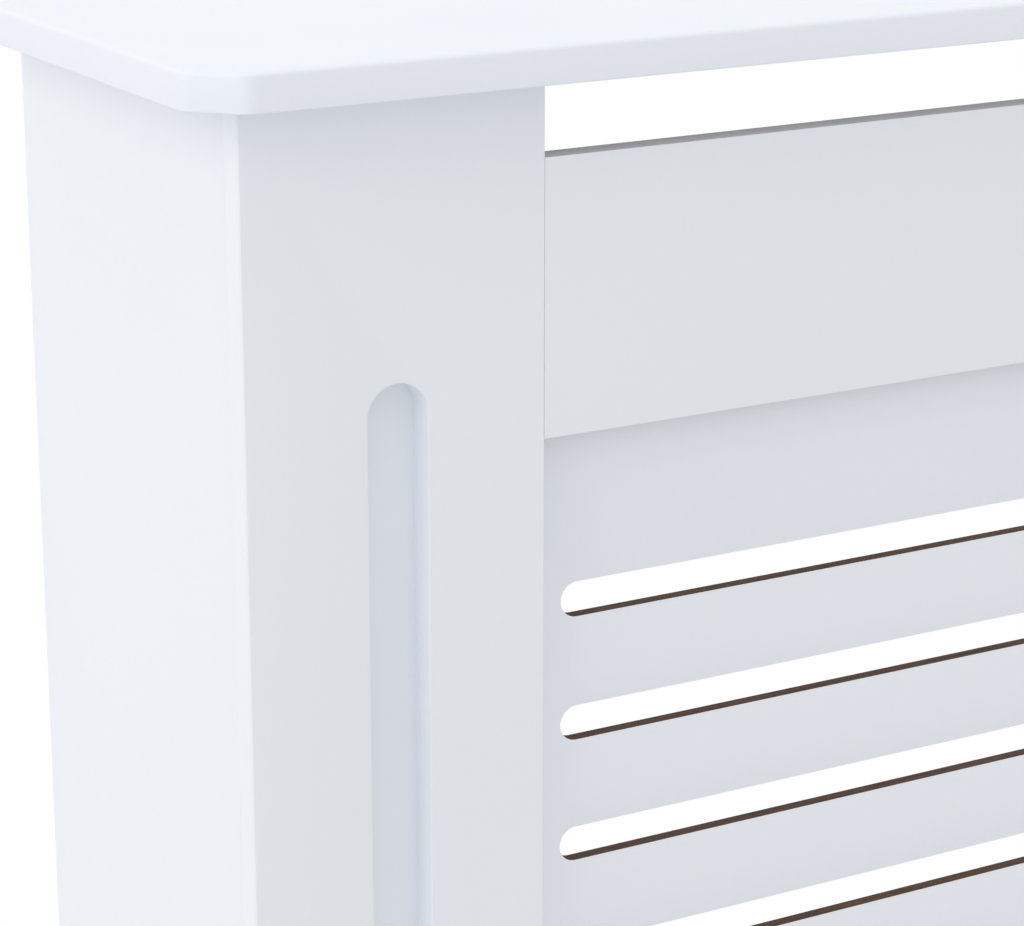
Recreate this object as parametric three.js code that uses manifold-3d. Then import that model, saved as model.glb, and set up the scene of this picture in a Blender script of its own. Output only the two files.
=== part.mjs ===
// Radiator cover cabinet: a painted fibreboard box, open at the back and below, with a slotted grille.
// Millimetres, +Z up. X runs along the width, the front faces -Y and the back edges stand against a wall.
// The origin is on the floor, in the middle of the width and the depth.
import * as THREE from 'three';
import { mergeVertices } from 'three/addons/utils/BufferGeometryUtils.js';
import Module from 'manifold-3d';

const manifold = await Module();
manifold.setup();

// ---- Driving dimensions ----
const WIDTH = 1120;               // shelf, end to end
const DEPTH = 190;                // shelf, wall to front edge
const HEIGHT = 815;               // floor to top of shelf
const OVERHANG = 20;              // shelf past the box, at the front and at both ends

const SHELF_THICKNESS = 12;
const SHELF_ARRIS = 1.6;          // rounding along the shelf's edges
const CORNER_CLIP = 14.5;         // leg of the 45 degree cut across each front corner
const CORNER_SOFTENING = 4;       // rounding where the cut meets the straight edges

const PANEL_THICKNESS = 12;       // side panels
const PANEL_INSET = 0.7;          // side panel behind the pilaster's outer edge
const SKIRTING_HEIGHT = 130;      // notch for the skirting board
const SKIRTING_DEPTH = 20;

const FRONT_THICKNESS = 9;        // pilasters and rails
const FRONT_ARRIS = 0.8;          // small bevel round the front faces
const PILASTER_WIDTH = 104;
const FLUTE_WIDTH = 21;
const FLUTE_TO_RAIL_EDGE = 65;    // flute's tips inside the rails' outer edges

const RAIL_HEIGHT = 90;
const AIR_GAP = 26;               // between shelf and upper rail
const RAIL_JOINT = 0.4;           // hairline between rail and pilaster

const GRILLE_THICKNESS = 5;
const GRILLE_LAP = 5;             // the grille stops this far short of the rails' outer edges
const SLOT_ROWS = 10;
const SLOT_HEIGHT = 12;
const SLOT_PITCH = 43;
const SLOT_TO_RAIL = 53;          // upper rail's lower edge down to the first slot
const SLOT_MARGIN = 12;           // pilaster's inner edge to the end of a slot
const CENTRE_BAND = 24;           // solid band between the two columns of slots

const BATTEN = 18;                // square section of the pine strips
const BATTEN_CLEARANCE = 20;      // batten ends above the floor and below the shelf
const CLEAT_LENGTH = 120;

const BRACKET_LEG = 30;
const BRACKET_WIDTH = 20;
const BRACKET_THICKNESS = 2;
const BRACKET_BEND = 2;           // rounding inside the bend
const BRACKET_SPACING = 700;      // between the two wall brackets
const BRACKET_HOLE = 5;
const BRACKET_HOLE_HEIGHT = 18;   // from the shelf down to the wall screw's hole

const GLIDE_DIAMETER = 10;
const GLIDE_HEIGHT = 3;
const GLIDE_RIM = 1;              // bevel round the tread
const GLIDE_STEM_DIAMETER = 3;
const GLIDE_STEM_LENGTH = 14;
const GLIDE_SETBACK = 25;         // from the ends of a side panel's foot

const DOWEL_DIAMETER = 5;
const DOWEL_LENGTH = 24;
const SHELF_DOWEL_DEPTH = 8;      // how far a dowel stands into the shelf
const DOWEL_EDGE = 20;            // rail's edges to its dowels
const SHELF_DOWEL_REACH = 32;     // from the middle of a pilaster to its shelf dowels
const DOWEL_CHAMFER = 0.6;

const SHORT_SCREW = { shank: 3.5, length: 11 };
const MEDIUM_SCREW = { shank: 3.5, length: 25 };
const LONG_SCREW = { shank: 3.5, length: 30 };
const SCREW_RIM = 0.2;            // upright edge round a countersunk head
const SCREW_POINT_RADIUS = 0.4;
const SCREW_ACCESS = 1.2;         // how far a screw's hole is open above its head
const CLEAT_SHELF_SCREW_REACH = 45;
const CLEAT_PANEL_SCREW_REACH = 22;
const BATTEN_PANEL_SCREW_REACH = 230;
const BATTEN_PILASTER_SCREW_REACH = 300;
const GRILLE_SCREW_REACH = 300;
const BRACKET_SCREW_SETBACK = 17;

const GAP = 0.3;                  // clearance between pieces that touch
const MERGE_DISTANCE = 1e-4;      // corners closer than this are one corner
const FACETS = 10;                // sides of a screw, dowel or hole
const SLOT_END_FACETS = 6;
const FLUTE_END_FACETS = 10;
const SHELF_CORNER_FACETS = 4;
const SHELF_ARRIS_FACETS = 3;
const BEND_FACETS = 4;

// ---- Sizes that follow ----
const BODY_WIDTH = WIDTH - 2 * OVERHANG;
const BACK = DEPTH / 2;
const FRONT = -DEPTH / 2 + OVERHANG;
const FRONT_BACK = FRONT + FRONT_THICKNESS;
const GRILLE_FRONT = FRONT_BACK + GAP;
const GRILLE_BACK = GRILLE_FRONT + GRILLE_THICKNESS;
const BATTEN_FRONT = GRILLE_BACK + GAP;
const SHELF_UNDERSIDE = HEIGHT - SHELF_THICKNESS;
const BOX_TOP = SHELF_UNDERSIDE - GAP;
const BOX_FOOT = GLIDE_HEIGHT;
const PANEL_OUTSIDE = BODY_WIDTH / 2 - PANEL_INSET;
const PANEL_INSIDE = PANEL_OUTSIDE - PANEL_THICKNESS;
const OPEN_WIDTH = BODY_WIDTH - 2 * PILASTER_WIDTH;
const RAIL_LENGTH = OPEN_WIDTH - 2 * RAIL_JOINT;
const UPPER_RAIL_TOP = SHELF_UNDERSIDE - AIR_GAP;
const UPPER_RAIL_FOOT = UPPER_RAIL_TOP - RAIL_HEIGHT;
const FIRST_SLOT_TOP = UPPER_RAIL_FOOT - SLOT_TO_RAIL;
const LAST_SLOT_FOOT = FIRST_SLOT_TOP - (SLOT_ROWS - 1) * SLOT_PITCH - SLOT_HEIGHT;
const LOWER_RAIL_TOP = LAST_SLOT_FOOT - SLOT_TO_RAIL;
const LOWER_RAIL_FOOT = LOWER_RAIL_TOP - RAIL_HEIGHT;
const SLOT_LENGTH = (OPEN_WIDTH - CENTRE_BAND) / 2 - SLOT_MARGIN;
const GRILLE_WIDTH = 2 * (PANEL_INSIDE - GAP);
const GRILLE_TOP = UPPER_RAIL_TOP - GRILLE_LAP;
const GRILLE_FOOT = LOWER_RAIL_FOOT + GRILLE_LAP;
const BATTEN_CENTRE_X = PANEL_INSIDE - GAP - BATTEN / 2;
const BATTEN_CENTRE_Y = BATTEN_FRONT + BATTEN / 2;
const CLEAT_TOP = SHELF_UNDERSIDE - GAP;
const CLEAT_CENTRE_Y = (BATTEN_FRONT + BATTEN + BACK) / 2;

const X_AXIS = new THREE.Vector3(1, 0, 0);
const Y_AXIS = new THREE.Vector3(0, 1, 0);
const Z_AXIS = new THREE.Vector3(0, 0, 1);
const UP = Z_AXIS;
const FORWARD = Y_AXIS.clone().negate();
const SIDES = [
  { side: 'left', sign: -1 },
  { side: 'right', sign: 1 },
];

// ---- Finishes ----
const finish = (color, roughness, metalness = 0) => (
  () => new THREE.MeshStandardMaterial({ color, roughness, metalness })
);
const whitePaint = finish(0xeff3f7, 0.45);
const grillePaint = finish(0xe9edf1, 0.5);
const pine = finish(0xd9b987, 0.7);
const beech = finish(0xcfa877, 0.65);
const zincSteel = finish(0xb9bcc0, 0.35, 1);
const greyPlastic = finish(0xc9ccce, 0.5);

// ---- Solids: closed meshes that can be cut ----
function toSolid(geometry) {
  const bare = geometry.clone();
  bare.deleteAttribute('normal');
  bare.deleteAttribute('uv');
  const merged = mergeVertices(bare, MERGE_DISTANCE);
  const corners = merged.index.array;
  const triangles = [];
  for (let i = 0; i < corners.length; i += 3) {
    const [a, b, c] = corners.slice(i, i + 3);
    if (a !== b && b !== c && c !== a) {
      triangles.push(a, b, c);
    }
  }
  return new manifold.Manifold(new manifold.Mesh({
    numProp: 3,
    vertProperties: new Float32Array(merged.attributes.position.array),
    triVerts: new Uint32Array(triangles),
  }));
}

function toGeometry(solid) {
  const mesh = solid.getMesh();
  const geometry = new THREE.BufferGeometry();
  geometry.setAttribute('position', new THREE.BufferAttribute(new Float32Array(mesh.vertProperties), 3));
  geometry.setIndex(new THREE.BufferAttribute(new Uint32Array(mesh.triVerts), 1));
  geometry.computeVertexNormals();
  return geometry;
}

// ---- Outlines ----
// Polygon whose corners are rounded by the given distance along both edges.
function softenedOutline(corners) {
  const shape = new THREE.Shape();
  corners.forEach(({ point, softening }, index) => {
    const before = corners[(index + corners.length - 1) % corners.length].point;
    const after = corners[(index + 1) % corners.length].point;
    const enter = point.clone().add(before.clone().sub(point).setLength(softening));
    const leave = point.clone().add(after.clone().sub(point).setLength(softening));
    if (index === 0) {
      shape.moveTo(enter.x, enter.y);
    } else {
      shape.lineTo(enter.x, enter.y);
    }
    if (softening > 0) {
      shape.quadraticCurveTo(point.x, point.y, leave.x, leave.y);
    }
  });
  shape.closePath();
  return shape;
}

function rectangle(width, height) {
  const shape = new THREE.Shape();
  shape.moveTo(-width / 2, 0);
  shape.lineTo(width / 2, 0);
  shape.lineTo(width / 2, height);
  shape.lineTo(-width / 2, height);
  shape.closePath();
  return shape;
}

// Slot with two round ends, lying along X or standing along Y.
function roundEndedSlot(centreX, centreY, length, width, upright = false) {
  const radius = width / 2;
  const reach = length / 2 - radius;
  const path = new THREE.Path();
  if (upright) {
    path.absarc(centreX, centreY + reach, radius, 0, Math.PI, false);
    path.absarc(centreX, centreY - reach, radius, Math.PI, 2 * Math.PI, false);
  } else {
    path.absarc(centreX + reach, centreY, radius, -Math.PI / 2, Math.PI / 2, false);
    path.absarc(centreX - reach, centreY, radius, Math.PI / 2, 1.5 * Math.PI, false);
  }
  path.closePath();
  return path;
}

// ---- Boards ----
function piece(name, geometry, material) {
  const mesh = new THREE.Mesh(geometry, material());
  mesh.name = name;
  return mesh;
}

// A board drawn in its own plane, square-edged, thickness along local Z.
function squareEdged(shape, thickness, curveSegments = 1) {
  return new THREE.ExtrudeGeometry(shape, { depth: thickness, bevelEnabled: false, curveSegments });
}

// The same, with a bevel round the edges of its front face and a square back.
function frontBevelled(shape, thickness, curveSegments = 1) {
  const blank = new THREE.ExtrudeGeometry(shape, {
    depth: thickness,
    bevelThickness: FRONT_ARRIS,
    bevelSize: FRONT_ARRIS,
    bevelOffset: -FRONT_ARRIS,
    bevelSegments: 1,
    curveSegments,
  });
  blank.translate(0, 0, -FRONT_ARRIS);
  const keep = new THREE.BoxGeometry(2 * WIDTH, 2 * HEIGHT, thickness);
  keep.translate(0, 0, thickness / 2);
  return toGeometry(toSolid(blank).intersect(toSolid(keep)));
}

// Stands a board upright and facing forward: local X stays, local Y turns up, local Z turns to the front.
function faceForward(mesh, x, backY, z) {
  mesh.rotation.x = Math.PI / 2;
  mesh.position.set(x, backY, z);
  return mesh;
}

// Stands a board upright and facing sideways: local X runs to the wall, local Y up, local Z along X.
function faceSideways(mesh, x, y, z) {
  mesh.quaternion.setFromRotationMatrix(new THREE.Matrix4().makeBasis(Y_AXIS, Z_AXIS, X_AXIS));
  mesh.position.set(x, y, z);
  return mesh;
}

function topShelf() {
  const corner = (x, y, softening) => ({ point: new THREE.Vector2(x, y), softening });
  const end = WIDTH / 2;
  const front = -DEPTH / 2;
  const outline = softenedOutline([
    corner(-end + CORNER_CLIP, front, CORNER_SOFTENING),
    corner(end - CORNER_CLIP, front, CORNER_SOFTENING),
    corner(end, front + CORNER_CLIP, CORNER_SOFTENING),
    corner(end, BACK, 0),
    corner(-end, BACK, 0),
    corner(-end, front + CORNER_CLIP, CORNER_SOFTENING),
  ]);
  const geometry = new THREE.ExtrudeGeometry(outline, {
    depth: SHELF_THICKNESS - 2 * SHELF_ARRIS,
    bevelThickness: SHELF_ARRIS,
    bevelSize: SHELF_ARRIS,
    bevelOffset: -SHELF_ARRIS,
    bevelSegments: SHELF_ARRIS_FACETS,
    curveSegments: SHELF_CORNER_FACETS,
  });
  const mesh = piece('top_shelf', geometry, whitePaint);
  mesh.position.z = SHELF_UNDERSIDE + SHELF_ARRIS;
  return mesh;
}

function sidePanel({ side, sign }) {
  const outline = new THREE.Shape();
  outline.moveTo(GRILLE_FRONT, BOX_FOOT);
  outline.lineTo(BACK - SKIRTING_DEPTH, BOX_FOOT);
  outline.lineTo(BACK - SKIRTING_DEPTH, SKIRTING_HEIGHT);
  outline.lineTo(BACK, SKIRTING_HEIGHT);
  outline.lineTo(BACK, BOX_TOP);
  outline.lineTo(GRILLE_FRONT, BOX_TOP);
  outline.closePath();
  const mesh = piece(`side_panel_${side}`, squareEdged(outline, PANEL_THICKNESS), whitePaint);
  const lowX = sign < 0 ? -PANEL_OUTSIDE : PANEL_INSIDE;
  return faceSideways(mesh, lowX, 0, 0);
}

function pilaster({ side, sign }) {
  const height = BOX_TOP - BOX_FOOT;
  const outline = rectangle(PILASTER_WIDTH, height);
  const fluteTop = UPPER_RAIL_TOP - FLUTE_TO_RAIL_EDGE;
  const fluteFoot = LOWER_RAIL_FOOT + FLUTE_TO_RAIL_EDGE;
  const fluteCentre = (fluteTop + fluteFoot) / 2 - BOX_FOOT;
  outline.holes.push(roundEndedSlot(0, fluteCentre, fluteTop - fluteFoot, FLUTE_WIDTH, true));
  const geometry = frontBevelled(outline, FRONT_THICKNESS, FLUTE_END_FACETS);
  const mesh = piece(`pilaster_${side}`, geometry, whitePaint);
  return faceForward(mesh, sign * (BODY_WIDTH - PILASTER_WIDTH) / 2, FRONT_BACK, BOX_FOOT);
}

function rail(name, foot) {
  const geometry = frontBevelled(rectangle(RAIL_LENGTH, RAIL_HEIGHT), FRONT_THICKNESS);
  return faceForward(piece(name, geometry, whitePaint), 0, FRONT_BACK, foot);
}

function grillePanel() {
  const outline = rectangle(GRILLE_WIDTH, GRILLE_TOP - GRILLE_FOOT);
  const columnOffset = (CENTRE_BAND + SLOT_LENGTH) / 2;
  for (let row = 0; row < SLOT_ROWS; row += 1) {
    const slotCentre = FIRST_SLOT_TOP - SLOT_HEIGHT / 2 - row * SLOT_PITCH - GRILLE_FOOT;
    for (const { sign } of SIDES) {
      outline.holes.push(roundEndedSlot(sign * columnOffset, slotCentre, SLOT_LENGTH, SLOT_HEIGHT));
    }
  }
  const geometry = squareEdged(outline, GRILLE_THICKNESS, SLOT_END_FACETS);
  return faceForward(piece('grille_panel', geometry, grillePaint), 0, GRILLE_BACK, GRILLE_FOOT);
}

// ---- Pine strips ----
function strip(name, sizeX, sizeY, sizeZ, x, y, z) {
  const mesh = piece(name, new THREE.BoxGeometry(sizeX, sizeY, sizeZ), pine);
  mesh.position.set(x, y, z);
  return mesh;
}

function cornerBatten({ side, sign }) {
  const foot = BOX_FOOT + BATTEN_CLEARANCE;
  const top = BOX_TOP - BATTEN_CLEARANCE;
  return strip(`corner_batten_${side}`, BATTEN, BATTEN, top - foot,
    sign * BATTEN_CENTRE_X, BATTEN_CENTRE_Y, (foot + top) / 2);
}

function shelfCleat({ side, sign }) {
  return strip(`shelf_cleat_${side}`, BATTEN, CLEAT_LENGTH, BATTEN,
    sign * BATTEN_CENTRE_X, CLEAT_CENTRE_Y, CLEAT_TOP - BATTEN / 2);
}

function centreBrace() {
  return strip('centre_brace', BATTEN, BATTEN, GRILLE_TOP - GRILLE_FOOT,
    0, BATTEN_CENTRE_Y, (GRILLE_TOP + GRILLE_FOOT) / 2);
}

// ---- Steel angle under the shelf, with a hole for the wall screw ----
function wallBracket({ side, sign }) {
  const outline = new THREE.Shape();
  const inside = -BRACKET_THICKNESS;
  const bendEnd = inside - BRACKET_BEND;
  outline.moveTo(0, 0);
  outline.lineTo(-BRACKET_LEG, 0);
  outline.lineTo(-BRACKET_LEG, inside);
  outline.lineTo(bendEnd, inside);
  outline.quadraticCurveTo(inside, inside, inside, bendEnd);
  outline.lineTo(inside, -BRACKET_LEG);
  outline.lineTo(0, -BRACKET_LEG);
  outline.closePath();
  const angle = squareEdged(outline, BRACKET_WIDTH, BEND_FACETS);
  const hole = new THREE.CylinderGeometry(BRACKET_HOLE / 2, BRACKET_HOLE / 2, BRACKET_LEG, FACETS);
  hole.rotateZ(Math.PI / 2);
  hole.translate(0, -BRACKET_HOLE_HEIGHT, BRACKET_WIDTH / 2);
  const geometry = toGeometry(toSolid(angle).subtract(toSolid(hole)));
  const mesh = piece(`wall_bracket_${side}`, geometry, zincSteel);
  return faceSideways(mesh, sign * BRACKET_SPACING / 2 - BRACKET_WIDTH / 2, BACK, BOX_TOP);
}

// ---- Turned pieces: a profile of [radius, height] pairs that starts and ends on the axis ----
function turned(profile) {
  return new THREE.LatheGeometry(profile.map(([radius, y]) => new THREE.Vector2(radius, y)), FACETS);
}

// Countersunk screw: the head's face is at 0 and the point at `length` along local Y.
function screw({ shank, length }) {
  const core = shank / 2;
  return turned([
    [0, 0],
    [shank, 0],
    [shank, SCREW_RIM],
    [core, shank - core + SCREW_RIM],
    [core, length - shank],
    [SCREW_POINT_RADIUS, length],
    [0, length],
  ]);
}

// The hole that the screw sits in, open above its head.
function screwHole({ shank, length }) {
  const core = shank / 2 + GAP;
  return turned([
    [0, -SCREW_ACCESS],
    [shank + GAP, -SCREW_ACCESS],
    [shank + GAP, SCREW_RIM],
    [core, shank + GAP - core + SCREW_RIM],
    [core, length + GAP],
    [0, length + GAP],
  ]);
}

// Dowel with chamfered ends, centred on its joint.
function dowel() {
  const radius = DOWEL_DIAMETER / 2;
  const end = DOWEL_LENGTH / 2;
  return turned([
    [0, -end],
    [radius - DOWEL_CHAMFER, -end],
    [radius, -end + DOWEL_CHAMFER],
    [radius, end - DOWEL_CHAMFER],
    [radius - DOWEL_CHAMFER, end],
    [0, end],
  ]);
}

function dowelHole() {
  const radius = DOWEL_DIAMETER / 2 + GAP;
  const end = DOWEL_LENGTH / 2 + GAP;
  return turned([[0, -end], [radius, -end], [radius, end], [0, end]]);
}

// Foot glide: its tread is at 0 and its stem is driven up into the board's lower edge.
function glide() {
  const pad = GLIDE_DIAMETER / 2;
  const stem = GLIDE_STEM_DIAMETER / 2;
  const seat = GLIDE_HEIGHT - GAP;
  const stemTop = GLIDE_HEIGHT + GLIDE_STEM_LENGTH;
  return turned([
    [0, 0],
    [pad - GLIDE_RIM, 0],
    [pad, GLIDE_RIM],
    [pad, seat],
    [stem, seat],
    [stem, stemTop],
    [0, stemTop],
  ]);
}

function glideHole() {
  const stem = GLIDE_STEM_DIAMETER / 2 + GAP;
  const stemTop = GLIDE_HEIGHT + GLIDE_STEM_LENGTH + GAP;
  return turned([[0, GLIDE_HEIGHT - GAP], [stem, GLIDE_HEIGHT - GAP], [stem, stemTop], [0, stemTop]]);
}

// A fastener is its own piece and carries the shape of the hole that it needs.
function fastener(name, geometry, hole, material, position, direction) {
  const mesh = piece(name, geometry, material);
  mesh.position.copy(position);
  mesh.quaternion.setFromUnitVectors(Y_AXIS, direction);
  mesh.updateWorldMatrix(true, false);
  return { mesh, cutter: hole.applyMatrix4(mesh.matrixWorld) };
}

function screwAt(name, size, x, y, z, direction) {
  return fastener(name, screw(size), screwHole(size), zincSteel, new THREE.Vector3(x, y, z), direction);
}

function dowelAt(name, x, y, z, direction) {
  return fastener(name, dowel(), dowelHole(), beech, new THREE.Vector3(x, y, z), direction);
}

// Screws from the pine strips into the shelf, the side panels and the pilasters.
function stripScrews({ side, sign }) {
  const outward = X_AXIS.clone().multiplyScalar(sign);
  const stripX = sign * BATTEN_CENTRE_X;
  const innerX = sign * (BATTEN_CENTRE_X - BATTEN / 2);
  const cleatFoot = CLEAT_TOP - BATTEN;
  const battenBack = BATTEN_FRONT + BATTEN;
  const screws = [];
  [-1, 1].forEach((end, index) => {
    const number = index + 1;
    const shelfY = CLEAT_CENTRE_Y + end * CLEAT_SHELF_SCREW_REACH;
    const panelY = CLEAT_CENTRE_Y + end * CLEAT_PANEL_SCREW_REACH;
    const panelZ = SHELF_UNDERSIDE / 2 + end * BATTEN_PANEL_SCREW_REACH;
    const pilasterZ = SHELF_UNDERSIDE / 2 + end * BATTEN_PILASTER_SCREW_REACH;
    screws.push(
      screwAt(`shelf_screw_${side}_${number}`, MEDIUM_SCREW, stripX, shelfY, cleatFoot, UP),
      screwAt(`cleat_screw_${side}_${number}`, MEDIUM_SCREW, innerX, panelY, cleatFoot + BATTEN / 2, outward),
      screwAt(`panel_screw_${side}_${number}`, MEDIUM_SCREW, innerX, BATTEN_CENTRE_Y, panelZ, outward),
      screwAt(`pilaster_screw_${side}_${number}`, LONG_SCREW, stripX, battenBack, pilasterZ, FORWARD),
    );
  });
  return screws;
}

// Screws through the grille panel, and through the brace behind it, into both rails.
function railScrews() {
  const battenBack = BATTEN_FRONT + BATTEN;
  const places = [
    { place: 'upper', z: UPPER_RAIL_FOOT + RAIL_HEIGHT / 2 },
    { place: 'lower', z: LOWER_RAIL_FOOT + RAIL_HEIGHT / 2 },
  ];
  return places.flatMap(({ place, z }) => [
    screwAt(`brace_screw_${place}`, LONG_SCREW, 0, battenBack, z, FORWARD),
    ...SIDES.map(({ side, sign }) => {
      const x = sign * GRILLE_SCREW_REACH;
      return screwAt(`grille_screw_${place}_${side}`, SHORT_SCREW, x, GRILLE_BACK, z, FORWARD);
    }),
  ]);
}

function bracketScrews() {
  return SIDES.map(({ side, sign }) => screwAt(`bracket_screw_${side}`, SHORT_SCREW,
    sign * BRACKET_SPACING / 2, BACK - BRACKET_SCREW_SETBACK, BOX_TOP - BRACKET_THICKNESS, UP));
}

// Two dowels in each end of each rail, and two from each pilaster into the shelf.
function frontDowels({ side, sign }) {
  const y = FRONT + FRONT_THICKNESS / 2;
  const jointX = sign * OPEN_WIDTH / 2;
  const shelfZ = SHELF_UNDERSIDE + SHELF_DOWEL_DEPTH - DOWEL_LENGTH / 2;
  const pilasterX = sign * (BODY_WIDTH - PILASTER_WIDTH) / 2;
  return [
    dowelAt(`dowel_upper_rail_${side}_1`, jointX, y, UPPER_RAIL_FOOT + DOWEL_EDGE, X_AXIS),
    dowelAt(`dowel_upper_rail_${side}_2`, jointX, y, UPPER_RAIL_TOP - DOWEL_EDGE, X_AXIS),
    dowelAt(`dowel_lower_rail_${side}_1`, jointX, y, LOWER_RAIL_FOOT + DOWEL_EDGE, X_AXIS),
    dowelAt(`dowel_lower_rail_${side}_2`, jointX, y, LOWER_RAIL_TOP - DOWEL_EDGE, X_AXIS),
    dowelAt(`dowel_shelf_${side}_1`, pilasterX - SHELF_DOWEL_REACH, y, shelfZ, UP),
    dowelAt(`dowel_shelf_${side}_2`, pilasterX + SHELF_DOWEL_REACH, y, shelfZ, UP),
  ];
}

function footGlides({ side, sign }) {
  const x = sign * (PANEL_INSIDE + PANEL_THICKNESS / 2);
  const rows = [
    { end: 'front', y: GRILLE_FRONT + GLIDE_SETBACK },
    { end: 'rear', y: BACK - SKIRTING_DEPTH - GLIDE_SETBACK },
  ];
  return rows.map(({ end, y }) => (
    fastener(`foot_glide_${end}_${side}`, glide(), glideHole(), greyPlastic, new THREE.Vector3(x, y, 0), UP)
  ));
}

// ---- Drilling: every board is cut by the hole of every fastener that reaches it ----
function drill(board, fasteners) {
  board.updateWorldMatrix(true, false);
  const reach = new THREE.Box3().setFromObject(board);
  const crossing = fasteners.filter(({ cutter }) => {
    cutter.computeBoundingBox();
    return reach.intersectsBox(cutter.boundingBox);
  });
  if (crossing.length === 0) {
    return;
  }
  let solid = toSolid(board.geometry.clone().applyMatrix4(board.matrixWorld));
  for (const { cutter } of crossing) {
    solid = solid.subtract(toSolid(cutter));
  }
  board.geometry = toGeometry(solid).applyMatrix4(board.matrixWorld.clone().invert());
}

// ---- Assembly ----
const carcass = new THREE.Group();
carcass.add(...SIDES.map(sidePanel), ...SIDES.map(cornerBatten), ...SIDES.map(shelfCleat));

const front = new THREE.Group();
front.add(...SIDES.map(pilaster), rail('upper_rail', UPPER_RAIL_FOOT), rail('lower_rail', LOWER_RAIL_FOOT));
front.add(grillePanel(), centreBrace());

const top = new THREE.Group();
top.add(topShelf(), ...SIDES.map(wallBracket));

const fasteners = [
  ...SIDES.flatMap(stripScrews),
  ...railScrews(),
  ...bracketScrews(),
  ...SIDES.flatMap(frontDowels),
  ...SIDES.flatMap(footGlides),
];
const hardware = new THREE.Group();
hardware.add(...fasteners.map(({ mesh }) => mesh));

for (const group of [carcass, front, top]) {
  group.children.forEach((board) => drill(board, fasteners));
}

const radiatorCover = new THREE.Group();
radiatorCover.add(carcass, front, top, hardware);

export default radiatorCover;
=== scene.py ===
"""Dresses the radiator cover cabinet: painted fibreboard, pine strips, steel fittings, and a pale studio."""

import math
from dataclasses import dataclass

import bpy
import numpy as np
from bpy.props import FloatProperty, FloatVectorProperty, IntProperty, PointerProperty
from mathutils import Euler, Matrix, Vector
from mathutils.geometry import tessellate_polygon


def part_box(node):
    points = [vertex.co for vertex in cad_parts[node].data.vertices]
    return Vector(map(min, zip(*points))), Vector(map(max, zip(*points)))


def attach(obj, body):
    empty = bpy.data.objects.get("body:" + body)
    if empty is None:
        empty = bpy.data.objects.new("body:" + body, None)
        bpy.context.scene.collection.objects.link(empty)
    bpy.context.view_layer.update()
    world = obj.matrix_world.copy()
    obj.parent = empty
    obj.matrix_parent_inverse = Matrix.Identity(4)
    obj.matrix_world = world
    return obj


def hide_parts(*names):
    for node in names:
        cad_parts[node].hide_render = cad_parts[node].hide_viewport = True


bl_info = {
    "name": "Radiator cover cabinet",
    "version": (1, 0, 0),
    "blender": (4, 5, 0),
    "location": "3D View > Sidebar > Cover",
    "description": "Builds the painted boards, fittings and stage of a radiator cover cabinet",
    "category": "Object",
}

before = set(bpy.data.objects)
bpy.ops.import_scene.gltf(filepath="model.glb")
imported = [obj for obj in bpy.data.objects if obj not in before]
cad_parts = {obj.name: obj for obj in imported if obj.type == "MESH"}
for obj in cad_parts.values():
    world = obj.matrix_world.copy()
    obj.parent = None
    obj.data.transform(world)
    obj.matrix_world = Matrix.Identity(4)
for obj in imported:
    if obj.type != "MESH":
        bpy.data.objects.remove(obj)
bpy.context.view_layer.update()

SIDES = ("left", "right")
MM = 0.001
SHARP_ANGLE = math.radians(35)      # an edge that turns by more than this is a crease
FILM_WIDTH = 36.0                   # millimetres, which the lens setting goes with
MOST_OF_NOISE = (0.3, 0.7)          # a noise texture's levels lie nearly all in this range


# ---------------------------------------------------------------------------------------------
# Settings that a user may change
# ---------------------------------------------------------------------------------------------
def length(name, description, default):
    """A length in metres, shown in the scene's units."""
    return FloatProperty(name=name, description=description, default=default, min=0, precision=5,
                         subtype="DISTANCE", unit="LENGTH")


def colour(name, description, default):
    """A linear colour."""
    return FloatVectorProperty(name=name, description=description, default=default, size=3,
                               min=0, max=1, subtype="COLOR")


def whole_number(name, description, default, least=1):
    """A count, of pieces or of straight steps."""
    return IntProperty(name=name, description=description, default=default, min=least)


def spot(name, description, default):
    """A place in the part's coordinates, in metres."""
    return FloatVectorProperty(name=name, description=description, default=default, size=3,
                               subtype="TRANSLATION", unit="LENGTH")


def bearing(name, description, degrees):
    """An angle, whose default is given in degrees."""
    return FloatProperty(name=name, description=description, default=math.radians(degrees),
                         subtype="ANGLE")


def watts(name, description, default):
    """A lamp's power in watts."""
    return FloatProperty(name=name, description=description, default=default, min=0, subtype="POWER")


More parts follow.
